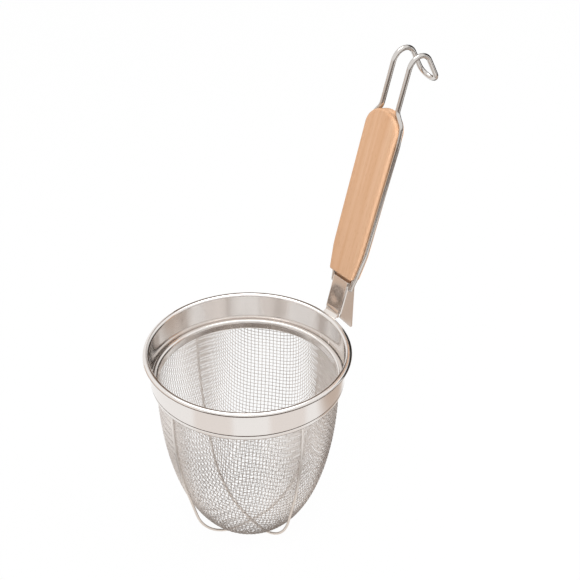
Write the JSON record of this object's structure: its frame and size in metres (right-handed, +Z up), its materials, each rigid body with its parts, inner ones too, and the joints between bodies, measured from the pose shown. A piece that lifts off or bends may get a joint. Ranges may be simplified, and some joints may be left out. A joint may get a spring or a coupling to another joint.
{
  "type": "noodle strainer",
  "caption": "Deep round-bottomed wire-mesh noodle strainer with a steel rim band, bowed rib wires, a folded pot-rim bracket and a leaning wire handle with a wooden grip and hanging hook.",
  "frame": {"origin": "under the middle of the basket, on the flat underside of the lower rib wire", "axes": "+Z up along the basket's axis; the handle stands on the +X side and its middle plane is y = 0"},
  "size_m": [0.2283, 0.14, 0.3305],
  "materials": {
    "polished_steel": "polished stainless sheet",
    "steel_mesh": "bright woven stainless wire",
    "steel_wire": "bright drawn stainless wire",
    "pale_wood": "sanded bare wood"
  },
  "bodies": {
    "root": {"rim_band": "polished_steel", "mesh_binding_ring": "polished_steel", "mesh_basket": "steel_mesh", "rib_wire_handle_plane": "steel_wire", "rib_wire_cross": "steel_wire", "handle_bracket": "polished_steel", "handle_wire": "steel_wire", "handle_grip": "pale_wood"}
  },
  "joints": []
}
